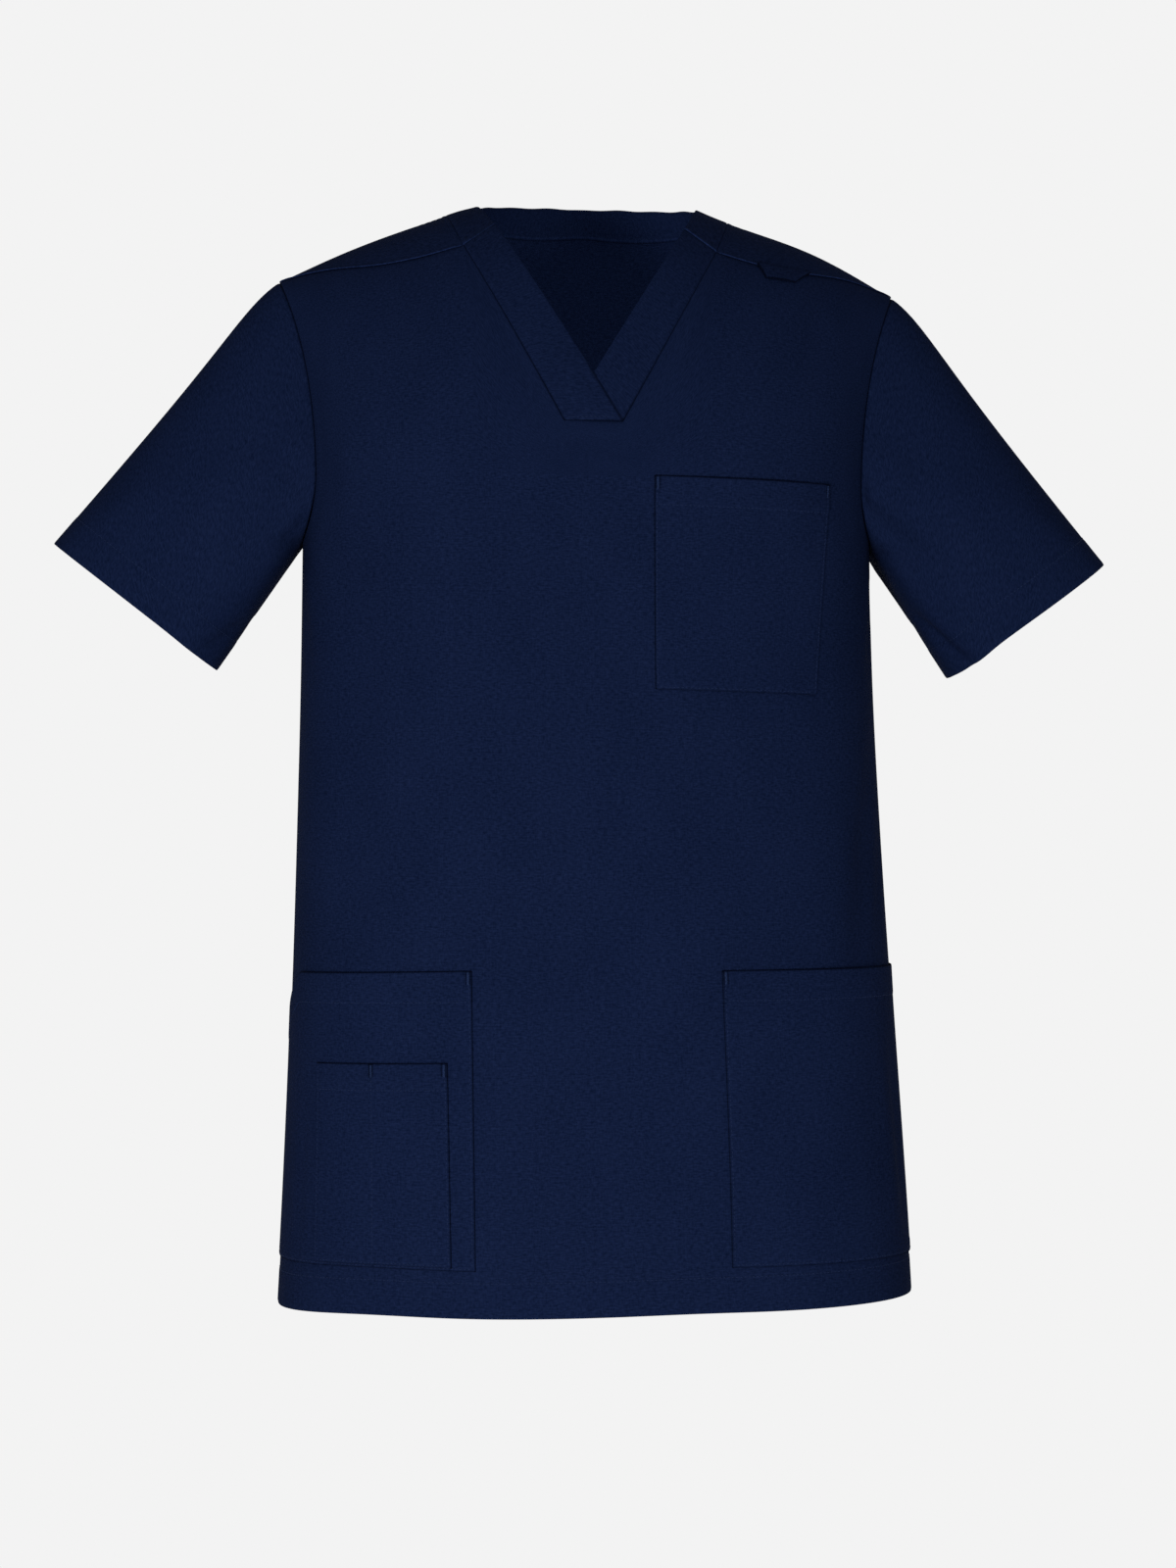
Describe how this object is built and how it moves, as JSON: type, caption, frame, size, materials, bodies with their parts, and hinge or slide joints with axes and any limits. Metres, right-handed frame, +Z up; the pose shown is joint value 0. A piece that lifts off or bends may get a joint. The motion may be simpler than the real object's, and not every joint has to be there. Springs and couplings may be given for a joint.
{
  "type": "medical scrub top",
  "caption": "Short-sleeved scrub top in navy cloth with a lapped V-neck band, a chest pocket, patch pockets at the hem and a badge loop, in its worn form.",
  "frame": {"origin": "between the shoulders, where a wearer carries the top, at the level of the armhole tops' middle", "axes": "+Z up the body from hem to neck, +X to the viewer's right, which is the wearer's left, +Y backward, so that the front faces -Y"},
  "size_m": [0.7383, 0.267, 0.774],
  "materials": {
    "body_cloth": "matt navy poplin",
    "band_cloth": "matt navy poplin, folded double",
    "pocket_cloth": "matt navy poplin"
  },
  "bodies": {
    "root": {"front": "body_cloth", "back": "body_cloth", "sleeve_right": "body_cloth", "sleeve_left": "body_cloth", "neck_band_right": "band_cloth", "neck_band_left": "band_cloth", "neck_band_back": "band_cloth", "chest_pocket": "pocket_cloth", "lower_pocket_right": "pocket_cloth", "lower_pocket_left": "pocket_cloth", "pen_pocket": "pocket_cloth", "badge_loop": "band_cloth"}
  },
  "joints": []
}
